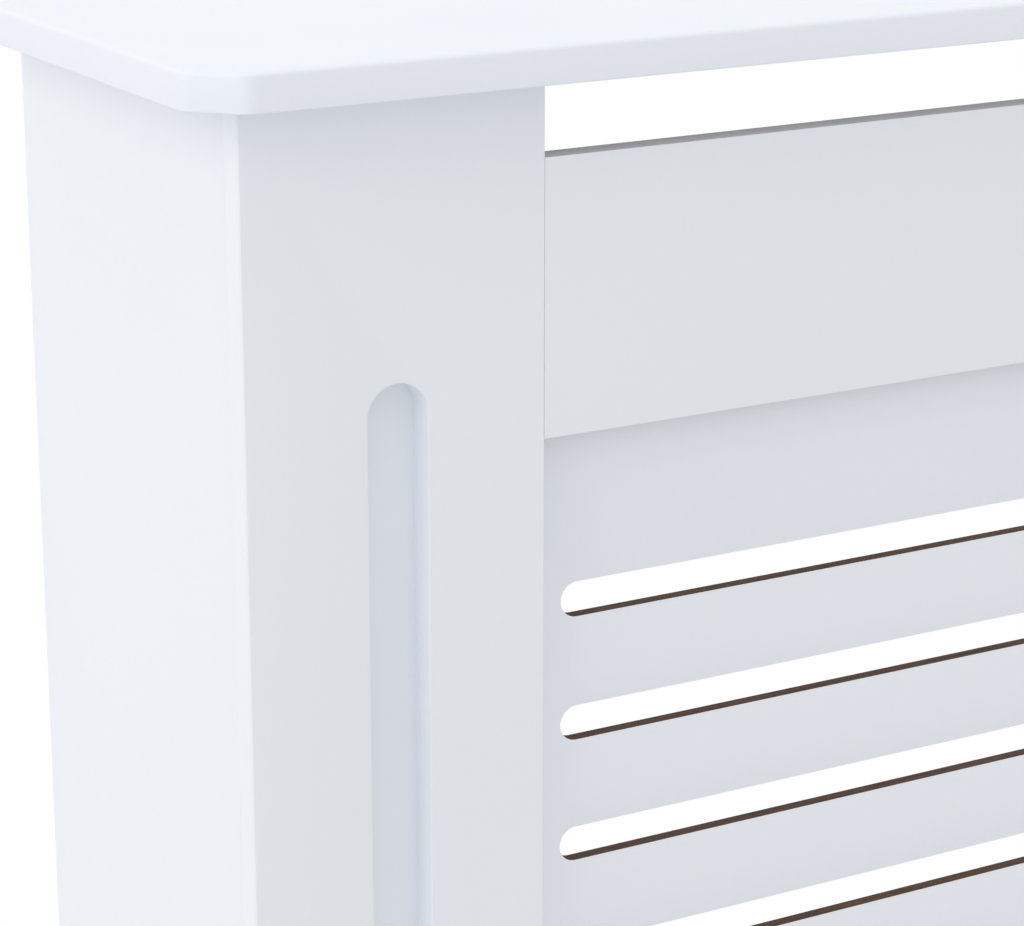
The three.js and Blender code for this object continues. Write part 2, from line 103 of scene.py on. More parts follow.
class CoverBoards(bpy.types.PropertyGroup):
    """Sizes of the boards that the frame's boxes don't give."""

    corner_clip: length("Corner clip", "Leg of the 45 degree cut across the shelf's front corners", 0.0145)
    clip_radius: length("Clip radius", "Rounding where that cut meets the straight edges", 0.008)
    shelf_arris: length("Shelf arris", "Rounding along the shelf's upper edges", 0.0016)
    under_arris: length("Under arris", "Rounding along the shelf's lower edges", 0.0006)
    front_arris: length("Front arris", "Rounding along the pilasters' fronts, but not at the rails", 0.0008)
    plain_arris: length("Plain arris", "Rounding along the side panels and the flutes", 0.0004)
    cut_arris: length("Cut arris", "Rounding along a raw or sealed edge and along a joint", 0.00015)
    joint_width: length("Joint width", "Hairline between a rail's end and a pilaster", 0.00008)
    skirting_depth: length("Skirting depth", "Depth of the notch at the back of a side panel", 0.020)
    skirting_height: length("Skirting height", "Height of that notch above the floor", 0.130)
    flute_width: length("Flute width", "Width of the upright flute in a pilaster", 0.021)
    flute_to_rail: length("Flute to rail", "From the level of a rail's outer edge to a flute's tip", 0.065)
    slot_height: length("Slot height", "Height of a slot in the grille", 0.012)
    slot_pitch: length("Slot pitch", "From one slot to the next", 0.043)
    slot_to_rail: length("Slot to rail", "Upper rail's lower edge to the first slot", 0.053)
    slot_margin: length("Slot margin", "Pilaster's inner edge to the end of a slot", 0.012)
    centre_band: length("Centre band", "Solid band between the two columns of slots", 0.024)
    slot_rows: whole_number("Slot rows", "Slots in each column", 10)
    arc_steps: whole_number("Arc steps", "Straight steps in half a turn", 28, 4)
    arris_steps: whole_number("Arris steps", "Straight steps across an arris", 5)
    slot_arris_steps: whole_number("Slot arris steps", "Straight steps across a slot's small arris", 2)


class CoverFittings(bpy.types.PropertyGroup):
    """Sizes of screws, dowels and glides."""

    shank: length("Screw shank", "Diameter of the screws", 0.0035)
    thread_pitch: length("Thread pitch", "From one turn of the thread to the next", 0.0016)
    thread_depth: length("Thread depth", "How far the thread is cut into the shank", 0.00045)
    recess_depth: length("Recess depth", "Depth of the cross recess in a screw's head", 0.0016)
    recess_width: length("Recess width", "Width of the wings of that recess", 0.0009)
    dowel_grooves: whole_number("Dowel grooves", "Glue grooves round a dowel", 16, 3)
    groove_depth: length("Groove depth", "Depth of those grooves", 0.00022)
    turn_steps: whole_number("Turn steps", "Straight steps round a screw or a glide", 48, 8)


class CoverColours(bpy.types.PropertyGroup):
    """Colours of the finishes."""

    paint: colour("Paint", "Satin white paint on the boards", (0.874, 0.904, 0.946))
    # The shelf's copy of the white paint is tinted bluer as painted light, for the cool light falling on its
    # top.
    shelf: colour("Shelf paint", "The same paint on the shelf", (0.874, 0.911, 0.971))
    # The side panels' copy of the white paint is lighter: painted light, where light falls on them from the
    # left.
    side: colour("Side paint", "The same paint on the side panels", (0.888, 0.918, 0.958))
    # The pilasters' edge copy of the white paint is lighter: painted light on their side edges and flute walls.
    edge: colour("Edge paint", "The same paint on the pilasters' edges", (0.891, 0.929, 0.971))
    # The grille's copy of the white paint is a little darker: painted shade, for the grille set back behind the
    # rails and pilasters.
    grille: colour("Grille paint", "The same paint on the thin grille panel", (0.868, 0.899, 0.948))
    # The rails' grey edge colour is painted shade: it stands for the shadow on their edges below the shelf.
    shaded: colour("Sealed edge", "Grey sealer on the cut edges of the rails", (0.565, 0.558, 0.55))
    fibre: colour("Raw fibre", "Cut fibreboard on the walls of the slots", (0.152, 0.092, 0.062))
    fibre_dark: colour("Dark fibre", "Darker layers of the cut fibreboard", (0.070, 0.045, 0.030))
    pine: colour("Pine", "Early wood of the pine strips", (0.66, 0.45, 0.235))
    pine_late: colour("Pine late wood", "Late wood of the pine strips", (0.42, 0.225, 0.085))
    beech: colour("Beech", "Dowels", (0.56, 0.36, 0.20))
    zinc: colour("Zinc", "Plated steel of brackets and screws", (0.60, 0.61, 0.62))
    plastic: colour("Plastic", "Foot glides", (0.56, 0.57, 0.58))
    floor: colour("Floor", "Studio floor", (0.80, 0.80, 0.81))


class CoverStage(bpy.types.PropertyGroup):
    """Camera, lamps and floor."""

    camera_place: spot("Camera place", "Where the camera stands", (-0.9299, -0.9098, 0.9648))
    camera_heading: bearing("Heading", "Turn of the view from +Y towards +X", 30.01)
    camera_dip: bearing("Dip", "How far the view points below the horizon", 16.41)
    lens: FloatProperty(name="Lens", description="Focal length for a 36 mm wide frame, in millimetres",
                        default=112.48, min=1)
    ambient: FloatProperty(name="Ambient", description="Brightness of the even light from all round",
                           default=0.823, min=0)
    lamp_aim: spot("Lamp aim", "Where both lamps point", (0, 0, 0.5))
    key_place: spot("Key lamp place", "Where the large lamp on the left stands", (-3.2, -0.6, 2.1))
    key_size: length("Key lamp size", "Side of that square lamp", 2.4)
    key_power: watts("Key lamp power", "Power of that lamp", 21.0)
    top_place: spot("Top lamp place", "Where the large lamp above hangs", (0, 0, 3.6))
    top_size: length("Top lamp size", "Side of that square lamp", 2.6)
    top_power: watts("Top lamp power", "Power of that lamp", 8.0)
    floor_size: length("Floor size", "Side of the square floor", 40.0)
    white_reach: length("White reach", "Distance from the object at which the floor is plain white", 0.62)


# ---------------------------------------------------------------------------------------------
# Shader maths
# ---------------------------------------------------------------------------------------------
class Level:
    """A number that changes over the surface. Sums and products on it add Math nodes."""

    def __init__(self, nodes, socket):
        self.nodes = nodes
        self.socket = socket

    def math(self, operation, *values):
        return self.nodes.level("ShaderNodeMath", {"operation": operation}, dict(enumerate(values)))

    def __add__(self, other):
        return self.math("ADD", self, other)

    def __sub__(self, other):
        return self.math("SUBTRACT", self, other)

    def __mul__(self, other):
        return self.math("MULTIPLY", self, other)

    def __rsub__(self, other):
        return self.math("SUBTRACT", other, self)

    def __pow__(self, other):
        return self.math("POWER", self, other)

    __radd__ = __add__
    __rmul__ = __mul__

    def at_most(self, other):
        return self.math("MINIMUM", self, other)

    def at_least(self, other):
        return self.math("MAXIMUM", self, other)

    def size(self):
        return self.math("ABSOLUTE", self)

    def sine(self):
        return self.math("SINE", self)


class Nodes:
    """The nodes of a material or of the world."""

    def __init__(self, tree):
        self.tree = tree

    def node(self, kind, settings=None, values=None):
        """A node of a kind, with its settings made first and then its sockets set or linked."""
        made = self.tree.nodes.new(kind)
        for name, value in (settings or {}).items():
            setattr(made, name, value)
        for name, value in (values or {}).items():
            self.feed(made.inputs[name], value)
        return made

    def feed(self, socket, value):
        """Links a socket to a level or to a node's output, or sets it to a plain value."""
        if isinstance(value, Level):
            value = value.socket
        if isinstance(value, bpy.types.NodeSocket):
            self.tree.links.new(value, socket)
        else:
            socket.default_value = value

    def level(self, kind, settings=None, values=None):
        """The first output of a new node."""
        return Level(self, self.node(kind, settings, values).outputs[0])

    def place(self, stretch=(1, 1, 1), shift=(0, 0, 0)):
        """Object coordinates, in metres, stretched and shifted."""
        coordinates = self.node("ShaderNodeTexCoord").outputs["Object"]
        return self.node("ShaderNodeMapping", None,
                         {"Vector": coordinates, "Scale": stretch, "Location": shift}).outputs["Vector"]

    def along_axis(self, axis):
        """The object coordinate along X, Y or Z, in metres."""
        parts = self.node("ShaderNodeSeparateXYZ", None, {"Vector": self.place()})
        return Level(self, parts.outputs[axis])

    def noise(self, scale, stretch=(1, 1, 1), detail=3.0, roughness=0.5, distortion=0.0, shift=(0, 0, 0)):
        """Noise from 0 to 1 with about scale bumps in a metre."""
        return self.level("ShaderNodeTexNoise", None,
                          {"Vector": self.place(stretch, shift), "Scale": scale, "Detail": detail,
                           "Roughness": roughness, "Distortion": distortion})

    def spread(self, value, low, high, new_low=0.0, new_high=1.0):
        """Maps low..high to new_low..new_high and stops at both ends."""
        return self.level("ShaderNodeMapRange", {"clamp": True},
                          {"Value": value, "From Min": low, "From Max": high,
                           "To Min": new_low, "To Max": new_high})

    def ranged(self, noise, new_low=0.0, new_high=1.0):
        """Maps most of a noise's levels to new_low..new_high."""
        return self.spread(noise, *MOST_OF_NOISE, new_low, new_high)

    def blend(self, amount, first, second):
        """A colour between two colours."""
        mix = self.node("ShaderNodeMix", {"data_type": "RGBA", "clamp_factor": True})
        self.feed(mix.inputs[0], amount)
        for socket, value in ((mix.inputs[6], first), (mix.inputs[7], second)):
            self.feed(socket, value if isinstance(value, bpy.types.NodeSocket) else (*value, 1.0))
        return mix.outputs[2]


class Shade(Nodes):
    """One material, around a Principled BSDF."""

    def __init__(self, name):
        self.material = bpy.data.materials.new(name)
        self.material.use_nodes = True
        super().__init__(self.material.node_tree)
        self.surface = self.tree.nodes["Principled BSDF"]

    def relief(self, height, depth):
        """Bumps of the given depth, in metres, fed to the surface's normal."""
        bump = self.node("ShaderNodeBump", None, {"Height": height, "Distance": depth, "Strength": 1.0})
        self.feed(self.surface.inputs["Normal"], bump.outputs["Normal"])

    def finish(self, **sockets):
        """Sets or links sockets of the Principled BSDF; an underscore stands for a space."""
        for name, value in sockets.items():
            self.feed(self.surface.inputs[name.replace("_", " ")], value)
        return self.material


def dimmed(tone, amount):
    """A colour made darker by a share."""
    return tuple(channel * (1 - amount) for channel in tone)


def painted_board(name, tone, roughness, shift):
    """Sprayed satin paint: a fine orange peel, faint clouding, and slightly uneven gloss."""
    shade = Shade(name)
    cloud = shade.noise(5.0, detail=2.0, shift=shift)
    dust = shade.noise(420.0, detail=4.0, roughness=0.7, shift=shift)
    peel = shade.noise(620.0, detail=2.5, roughness=0.55, shift=shift)
    swell = shade.noise(38.0, detail=2.0, shift=shift)
    rubbed = shade.noise(14.0, detail=5.0, roughness=0.65, distortion=0.6, shift=shift)
    tint = shade.blend(shade.ranged(cloud), tone, dimmed(tone, 0.012))
    speck = shade.spread(dust, 0.70, 0.80, 0.0, 0.10)
    shade.relief(peel * 0.7 + swell * 1.6, 0.00006)
    return shade.finish(
        Base_Color=shade.blend(speck, tint, dimmed(tone, 0.12)),
        Roughness=shade.ranged(rubbed, roughness - 0.05, roughness + 0.06) + peel * 0.05,
        Specular_IOR_Level=0.42,
        Coat_Weight=0.08,
        Coat_Roughness=0.28,
    )


def grey_shade_edge(name, tone, front, back):
    """A cut edge in grey that is painted shade, for the shadow that falls below the shelf: it shows the board's
    layers, and the painted shade deepens towards the back face.
    """
    shade = Shade(name)
    layers = shade.noise(300.0, stretch=(0.1, 3.0, 0.1), detail=4.0, roughness=0.6)
    patches = shade.noise(30.0, detail=3.0)
    # depth is painted shade: the grey darkens towards the back face, where the shadow below the shelf is
    # deepest.
    depth = shade.spread(shade.along_axis("Y"), front, back, 0.0, 0.7)
    # Painted shade towards the back, plus the board's layers and patches at random.
    shade_and_mottle = depth + (layers * 0.7 + patches * 0.3 - 0.5) * 0.8
    shade.relief(layers, 0.00008)
    return shade.finish(
        Base_Color=shade.blend(shade_and_mottle, tone, dimmed(tone, 0.3)),
        Roughness=shade.ranged(patches, 0.62, 0.75),
        Specular_IOR_Level=0.3,
    )


def raw_fibreboard(name, tone, dark):
    """Cut fibreboard: light and dark layers pressed along the sheet, torn fibres and pale flecks."""
    shade = Shade(name)
    layers = shade.noise(240.0, stretch=(0.16, 3.2, 0.16), detail=4.0, roughness=0.6)
    fibres = shade.noise(900.0, stretch=(0.35, 1.6, 0.35), detail=5.0, roughness=0.7)
    flecks = shade.noise(1500.0, stretch=(0.6, 1.0, 0.6), detail=3.0, roughness=0.6)
    mottled = shade.blend(shade.spread(layers * 0.55 + fibres * 0.45, 0.36, 0.62), dark, tone)
    pale = tuple(channel * 1.45 for channel in tone)
    lit = shade.blend(shade.spread(flecks, 0.60, 0.74, 0.0, 0.65), mottled, pale)
    shade.relief(fibres + flecks * 0.6 + layers * 0.5, 0.00022)
    return shade.finish(
        Base_Color=lit,
        Roughness=shade.ranged(fibres, 0.84, 0.97),
        Specular_IOR_Level=0.25,
    )


def planed_wood(name, early, late, along, rings=150.0, wander=34.0):
    """Planed wood whose grain runs along one axis: growth rings, so many to a metre, whose phase wanders by
    some radians, and fine pores."""
    shade = Shade(name)
    slow = tuple(0.04 if axis == along else 1.0 for axis in "XYZ")
    fine = tuple(0.02 if axis == along else 1.0 for axis in "XYZ")
    drift = shade.noise(22.0, stretch=slow, detail=2.0)
    across = "XYZ".replace(along, "")[0]
    phase = shade.along_axis(across) * rings * math.tau + drift * wander
    ring = phase.sine() * 0.5 + 0.5
    pores = shade.noise(1900.0, stretch=fine, detail=3.0, roughness=0.7)
    grain = (ring ** 2.2) * 0.75 + pores * 0.30
    shade.relief(grain + pores, 0.00012)
    return shade.finish(
        Base_Color=shade.blend(shade.spread(grain, 0.10, 0.95), early, late),
        Roughness=shade.ranged(pores, 0.58, 0.76),
        Specular_IOR_Level=0.35,
    )


def zinc_plate(name, tone):
    """Bright zinc: rolled streaks, a faint spangle and darker handling stains."""
    shade = Shade(name)
    streak = shade.noise(900.0, stretch=(1.0, 1.0, 0.08), detail=3.0)
    spangle = shade.level("ShaderNodeTexVoronoi", None, {"Vector": shade.place(), "Scale": 420.0})
    stain = shade.noise(160.0, detail=4.0, roughness=0.7)
    shade.relief(streak + spangle * 0.4, 0.00003)
    return shade.finish(
        Base_Color=shade.blend(shade.spread(stain, 0.35, 0.75), tone, dimmed(tone, 0.22)),
        Metallic=1.0,
        Roughness=shade.ranged(streak, 0.26, 0.42) + stain * 0.08,
    )


def moulded_plastic(name, tone):
    """Moulded plastic with a fine spark texture."""
    shade = Shade(name)
    spark = shade.noise(2600.0, detail=2.0, roughness=0.6)
    scuff = shade.noise(300.0, stretch=(1.0, 1.0, 0.3), detail=4.0, roughness=0.7)
    shade.relief(spark, 0.00004)
    return shade.finish(
        Base_Color=shade.blend(shade.spread(scuff, 0.55, 0.75, 0.0, 0.5), tone, dimmed(tone, 0.3)),
        Roughness=shade.ranged(scuff, 0.40, 0.58),
    )


# ---------------------------------------------------------------------------------------------
# Shapes
# ---------------------------------------------------------------------------------------------
def rounded_polygon(corners, radii, steps):
    """Closed outline whose corners are arcs tangent to both edges: the arc's centre lies on the corner's
    bisector at radius / sin(half the angle), and the arc turns by the corner's outer angle. Radius 0 keeps
    the corner. Steps is the count for half a turn."""
    corners = np.asarray(corners, float)
    points = []
    for index, radius in enumerate(radii):
        here = corners[index]
        back = corners[index - 1] - here
        ahead = corners[(index + 1) % len(corners)] - here
        if radius <= 0:
            points.append(here[None])
            continue
        back /= np.linalg.norm(back)
        ahead /= np.linalg.norm(ahead)
        half = math.acos(np.clip(back @ ahead, -1, 1)) / 2
        bisector = (back + ahead) / np.linalg.norm(back + ahead)
        centre = here + bisector * radius / math.sin(half)
        start = here + back * radius / math.tan(half) - centre
        turn = math.pi - 2 * half
        if back[0] * ahead[1] - back[1] * ahead[0] > 0:
            turn = -turn
        angle = np.linspace(0, turn, max(2, math.ceil(steps * abs(turn) / math.pi) + 1))
        cosine, sine = np.cos(angle), np.sin(angle)
        arc = np.stack([start[0] * cosine - start[1] * sine, start[0] * sine + start[1] * cosine], 1)
        points.append(centre + arc)
    return np.concatenate(points)


def round_ended_slot(centre, reach, radius, upright, steps):
    """Clockwise outline of a slot: two half circles of one radius whose centres stand reach to either side
    of the middle."""
    angle = np.linspace(math.pi / 2, -math.pi / 2, steps + 1)
    cap = np.stack([np.cos(angle) * radius + reach, np.sin(angle) * radius], 1)
    outline = np.concatenate([cap, -cap])
    if upright:
        outline = outline[:, ::-1] * (-1, 1)
    return outline + centre


@dataclass
class Rim:
    """The outline of a board, anticlockwise, or of a hole in it, clockwise. back and front are the depths of
    the roundings along it. Each edge, the first being the one after the first point, has the material of its
    wall in finishes and narrows the roundings by its share; both run round the loop again and again. The
    front rounding keeps the face's paint."""

    loop: np.ndarray
    back: float
    front: float
    finishes: tuple = (0,)
    shares: tuple = (1.0,)


def inward_steps(rim):
    """For each point of a rim, the step that moves the edge before it inwards by its share s and the edge
    after it by its share t: with their normals n and m, and c = n . m, the step is
    (s + t) / 2 * (n + m) / (1 + c) + (s - t) / 2 * (n - m) / (1 - c). The second term is nothing where both
    shares are alike, and its divisor is kept off zero for a straight run."""
    ahead = np.roll(rim.loop, -1, 0) - rim.loop
    ahead /= np.linalg.norm(ahead, axis=1)[:, None]
    after = np.stack([-ahead[:, 1], ahead[:, 0]], 1)
    before = np.roll(after, 1, 0)
    cosine = (after * before).sum(1)[:, None]
    share_after = np.resize(rim.shares, len(rim.loop))[:, None]
    share_before = np.roll(share_after, 1, 0)
    even = (share_before + share_after) / 2 * (before + after) / (1 + cosine)
    uneven = (share_before - share_after) / 2 * (before - after) / np.maximum(1 - cosine, 1e-9)
    return even + uneven


def arris_profile(thickness, rim, steps):
    """Rows of (inset, height) across a board's edge: a quarter circle off the back face, a straight run, and
    a quarter circle onto the front face. A side without a rounding has a single row."""
    turn = np.linspace(0, math.pi / 2, steps + 1)
    back = np.stack([rim.back * (1 - np.sin(turn)), rim.back * (1 - np.cos(turn))], 1)
    front = np.stack([rim.front * (1 - np.cos(turn)), thickness - rim.front * (1 - np.sin(turn))], 1)
    return np.concatenate([back if rim.back else back[:1], front if rim.front else front[:1]])


def board_mesh(name, rims, thickness, steps, place):
    """A board as a mesh, from the rim of its outline and those of its holes. Each loop is carried along its
    arris profile: point + inset * inward step across, height upwards. Two flat faces close the board. place
    turns rows of (across, up, out) into the part's coordinates."""
    points = []
    faces = []
    materials = []
    smooth = []
    borders = ([], [])                  # of the back face and of the front face
    start = 0
    for rim in rims:
        profile = arris_profile(thickness, rim, steps)
        flat = rim.loop[:, None, :] + inward_steps(rim)[:, None, :] * profile[None, :, :1]
        height = np.broadcast_to(profile[None, :, 1:], (*flat.shape[:2], 1))
        points.append(np.concatenate([flat, height], 2).reshape(-1, 3))
        count, rows = flat.shape[:2]
        around, across = np.meshgrid(np.arange(count), np.arange(rows - 1), indexing="ij")
        following = (around + 1) % count
        quads = np.stack([around * rows + across, following * rows + across,
                          following * rows + across + 1, around * rows + across + 1], 2).reshape(-1, 4)
        faces += (quads + start).tolist()
        bands = np.repeat(np.resize(rim.finishes, count)[:, None], rows - 1, axis=1)
        if rim.front:
            bands[:, -steps:] = 0
        materials += bands.ravel().tolist()
        smooth += [True] * len(quads)
        borders[0].append(start + np.arange(count) * rows)
        borders[1].append(start + np.arange(count) * rows + rows - 1)
        start += count * rows
    points = np.concatenate(points)
    for loops, outward in zip(borders, (-1, 1)):
        order = np.concatenate(loops)
        polylines = [[(*points[i, :2], 0.0) for i in loop] for loop in loops]
        cap = order[np.array(tessellate_polygon(polylines))]
        a, b, c = (points[cap[:, corner], :2] for corner in range(3))
        winding = (b - a)[:, 0] * (c - a)[:, 1] - (b - a)[:, 1] * (c - a)[:, 0]
        inside_out = winding * outward < 0
        cap[inside_out] = cap[inside_out][:, ::-1]
        faces += cap.tolist()
        materials += [0] * len(cap)
        smooth += [False] * len(cap)
    return filled_mesh(name, place(points), faces, materials, smooth)


def filled_mesh(name, points, faces, materials=None, smooth=True):
    """A mesh from points and faces, with a material and a smoothness for each face."""
    mesh = bpy.data.meshes.new(name)
    mesh.from_pydata(np.asarray(points, float).tolist(), [], faces)
    if materials is not None:
        mesh.polygons.foreach_set("material_index", np.asarray(materials, np.int32))
    shading = np.broadcast_to(np.asarray(smooth, bool), len(faces))
    mesh.polygons.foreach_set("use_smooth", np.ascontiguousarray(shading))
    mesh.set_sharp_from_angle(angle=SHARP_ANGLE)
    mesh.update()
    mesh.validate()
    return mesh


def turned_mesh(name, radius, height, place):
    """A closed turned form. radius and height are grids over (row along the profile, step round the axis),
    and a point is (radius cos, radius sin, height). The first and last rows shrink to the axis."""
    rows, steps = radius.shape
    angle = np.linspace(0, math.tau, steps, endpoint=False)
    points = np.stack([radius * np.cos(angle), radius * np.sin(angle), height], 2)[1:-1].reshape(-1, 3)
    foot, top = len(points), len(points) + 1
    points = np.concatenate([points, [(0, 0, height[0].mean())], [(0, 0, height[-1].mean())]])
    row, step = np.meshgrid(np.arange(rows - 3), np.arange(steps), indexing="ij")
    following = (step + 1) % steps
    quads = np.stack([row * steps + step, row * steps + following,
                      (row + 1) * steps + following, (row + 1) * steps + step], 2).reshape(-1, 4)
    step = np.arange(steps)
    following = (step + 1) % steps
    last = (rows - 3) * steps
    foot_fan = np.stack([np.full(steps, foot), following, step], 1)
    top_fan = np.stack([np.full(steps, top), last + step, last + following], 1)
    faces = quads.tolist() + foot_fan.tolist() + top_fan.tolist()
    return filled_mesh(name, place(points), faces)


def dress(name, mesh, materials, slot, *nodes):
    """Puts a mesh into the scene as the piece that stands for CAD nodes."""
    piece = bpy.data.objects.new(name, mesh)
    bpy.context.scene.collection.objects.link(piece)
    for material in materials:
        mesh.materials.append(material)
    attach(piece, "root")
    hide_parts(*nodes)


def paint_node(node, material):
    """Gives a CAD node one finish."""
    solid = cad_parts[node]
    solid.data.materials.clear()
    solid.data.materials.append(material)


# ---------------------------------------------------------------------------------------------
# Boards
# ---------------------------------------------------------------------------------------------
def facing_forward(back):
    """Across is X, up is Z, and out is towards -Y from the board's back."""
    return lambda rows: np.stack([rows[:, 0], back - rows[:, 2], rows[:, 1]], 1)


def facing_sideways(low_x):
    """Across is Y, up is Z, and out is towards +X from the board's lower X."""
    return lambda rows: np.stack([low_x + rows[:, 2], rows[:, 0], rows[:, 1]], 1)


def facing_up(low_z):
    """Across is X, up the outline is Y, and out is towards +Z from the board's underside."""
    return lambda rows: np.stack([rows[:, 0], rows[:, 1], low_z + rows[:, 2]], 1)


def rectangle(low, high):
    """A rectangle's corners, from two opposite ones. Its edges are then the foot, the high side, the top and
    the low side."""
    return np.array([(low[0], low[1]), (high[0], low[1]), (high[0], high[1]), (low[0], high[1])])


class COVER_OT_shelf(bpy.types.Operator):
    """Build the shelf: a board with clipped front corners and rounded edges"""

    bl_idname = "cover.shelf"
    bl_label = "Shelf"

    def execute(self, context):
        boards = context.scene.cover_boards
        low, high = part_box("top_shelf")
        clip = boards.corner_clip
        corners = [
            (low.x + clip, low.y), (high.x - clip, low.y), (high.x, low.y + clip),
            (high.x, high.y), (low.x, high.y), (low.x, low.y + clip),
        ]
        soft, arris = boards.clip_radius, boards.shelf_arris
        outline = rounded_polygon(corners, [soft, soft, soft, arris, arris, soft], boards.arc_steps)
        mesh = board_mesh("shelf_board", [Rim(outline, boards.under_arris, arris)], high.z - low.z,
                          boards.arris_steps, facing_up(low.z))
        # A bluer copy of the white paint: painted light, for the cool light on the shelf's top.
        paint = painted_board("shelf_paint_lit_tint", context.scene.cover_colours.shelf,
                              roughness=0.36, shift=(0.3, 0.1, 0.7))
        dress("shelf_board", mesh, [paint], "white_paint", "top_shelf")
        return {"FINISHED"}


class COVER_OT_side_panels(bpy.types.Operator):
    """Build both side panels, notched for the skirting board"""

    bl_idname = "cover.side_panels"
    bl_label = "Side panels"

    def execute(self, context):
        boards = context.scene.cover_boards
        # A lighter copy of the white paint: painted light on the side panels.
        paint = painted_board("side_paint_lit", context.scene.cover_colours.side,
                              roughness=0.40, shift=(1.3, 2.1, 0.4))
        joint_share = boards.cut_arris / boards.plain_arris
        for side in SIDES:
            low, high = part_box(f"side_panel_{side}")
            notch = high.y - boards.skirting_depth
            corners = [
                (low.y, low.z), (notch, low.z), (notch, boards.skirting_height),
                (high.y, boards.skirting_height), (high.y, high.z), (low.y, high.z),
            ]
            rim = Rim(np.array(corners), boards.plain_arris, boards.plain_arris,
                      shares=(1, 1, 1, 1, 1, joint_share))
            mesh = board_mesh(f"side_board_{side}", [rim], high.x - low.x, boards.arris_steps,
                              facing_sideways(low.x))
            dress(f"side_board_{side}", mesh, [paint], "white_paint", f"side_panel_{side}")
        return {"FINISHED"}


class COVER_OT_pilasters(bpy.types.Operator):
    """Build both pilasters with their flutes"""

    bl_idname = "cover.pilasters"
    bl_label = "Pilasters"

    def execute(self, context):
        boards = context.scene.cover_boards
        colours = context.scene.cover_colours
        satin = {"roughness": 0.40, "shift": (2.3, 0.6, 1.4)}
        paint = painted_board("front_paint", colours.paint, **satin)
        # edge is a lighter copy of the paint: painted light on the pilasters' side edges and flute walls.
        edge = painted_board("edge_paint_lit", colours.edge, **satin)
        joint_share = boards.cut_arris / boards.front_arris
        flute_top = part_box("upper_rail")[1].z - boards.flute_to_rail
        flute_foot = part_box("lower_rail")[0].z + boards.flute_to_rail
        radius = boards.flute_width / 2
        reach = (flute_top - flute_foot) / 2 - radius
        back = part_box("grille_panel")[0].y
        for side, shares in zip(SIDES, ((1, joint_share, 1, 1), (1, 1, 1, joint_share))):
            low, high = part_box(f"pilaster_{side}")
            centre = ((low.x + high.x) / 2, (flute_top + flute_foot) / 2)
            flute = round_ended_slot(centre, reach, radius, True, boards.arc_steps)
            outline = rectangle((low.x, low.z), (high.x, high.z))
            rims = [Rim(outline, 0, boards.front_arris, (1,), shares),
                    Rim(flute, 0, boards.plain_arris, (1,))]
            mesh = board_mesh(f"pilaster_board_{side}", rims, back - low.y, boards.arris_steps,
                              facing_forward(back))
            dress(f"pilaster_board_{side}", mesh, [paint, edge], "white_paint", f"pilaster_{side}")
        return {"FINISHED"}


class COVER_OT_rails(bpy.types.Operator):
    """Build the upper and the lower rail, in the pilasters' paint, with grey painted shade on their top and
    foot edges
    """

    bl_idname = "cover.rails"
    bl_label = "Rails"

    def execute(self, context):
        boards = context.scene.cover_boards
        paint = bpy.data.materials["front_paint"]
        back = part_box("grille_panel")[0].y
        # The rails' top and foot edges get grey painted shade, for the shadow below the shelf.
        shaded = grey_shade_edge("rail_edge_shade", context.scene.cover_colours.shaded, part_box("upper_rail")[0].y, back)
        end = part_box("pilaster_right")[0].x - boards.joint_width
        for rail in ("upper_rail", "lower_rail"):
            low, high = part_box(rail)
            outline = Rim(rectangle((-end, low.z), (end, high.z)), 0, boards.cut_arris, (1, 0))
            mesh = board_mesh(f"{rail}_board", [outline], back - low.y, boards.arris_steps,
                              facing_forward(back))
            dress(f"{rail}_board", mesh, [paint, shaded], "white_paint", rail)
        return {"FINISHED"}


class COVER_OT_grille(bpy.types.Operator):
    """Build the grille panel with its two columns of round-ended slots, raw on every cut edge"""

    bl_idname = "cover.grille"
    bl_label = "Grille"

    def execute(self, context):
        boards = context.scene.cover_boards
        colours = context.scene.cover_colours
        low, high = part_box("grille_panel")
        inner_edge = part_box("pilaster_right")[0].x
        first_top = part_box("upper_rail")[0].z - boards.slot_to_rail
        radius = boards.slot_height / 2
        near, far = boards.centre_band / 2, inner_edge - boards.slot_margin
        reach = (far - near) / 2 - radius
        arris = boards.cut_arris
        rims = [Rim(rectangle((low.x, low.z), (high.x, high.z)), arris, arris, (1,))]
        for row in range(boards.slot_rows):
            height = first_top - radius - row * boards.slot_pitch
            for sign in (-1, 1):
                centre = (sign * (near + far) / 2, height)
                slot = round_ended_slot(centre, reach, radius, False, boards.arc_steps)
                rims.append(Rim(slot, arris, arris, (1,)))
        mesh = board_mesh("slotted_grille", rims, high.y - low.y, boards.slot_arris_steps,
                          facing_forward(high.y))
        # A slightly darker copy of the white paint: painted shade on the recessed grille.
        paint = painted_board("grille_paint", colours.grille, roughness=0.42, shift=(4.1, 1.2, 2.2))
        fibre = raw_fibreboard("slot_fibre", colours.fibre, colours.fibre_dark)
        dress("slotted_grille", mesh, [paint, fibre], "grille_paint", "grille_panel")
        return {"FINISHED"}


# ---------------------------------------------------------------------------------------------
# Strips, brackets and fittings
# ---------------------------------------------------------------------------------------------
class COVER_OT_strips(bpy.types.Operator):
    """Finish the pine strips, each with its grain along its length"""

    bl_idname = "cover.strips"
    bl_label = "Pine strips"

    def execute(self, context):
        colours = context.scene.cover_colours
        upright = planed_wood("pine_upright", colours.pine, colours.pine_late, "Z")
        lying = planed_wood("pine_lying", colours.pine, colours.pine_late, "Y")
        paint_node("centre_brace", upright)
        for side in SIDES:
            paint_node(f"corner_batten_{side}", upright)
            paint_node(f"shelf_cleat_{side}", lying)
        return {"FINISHED"}


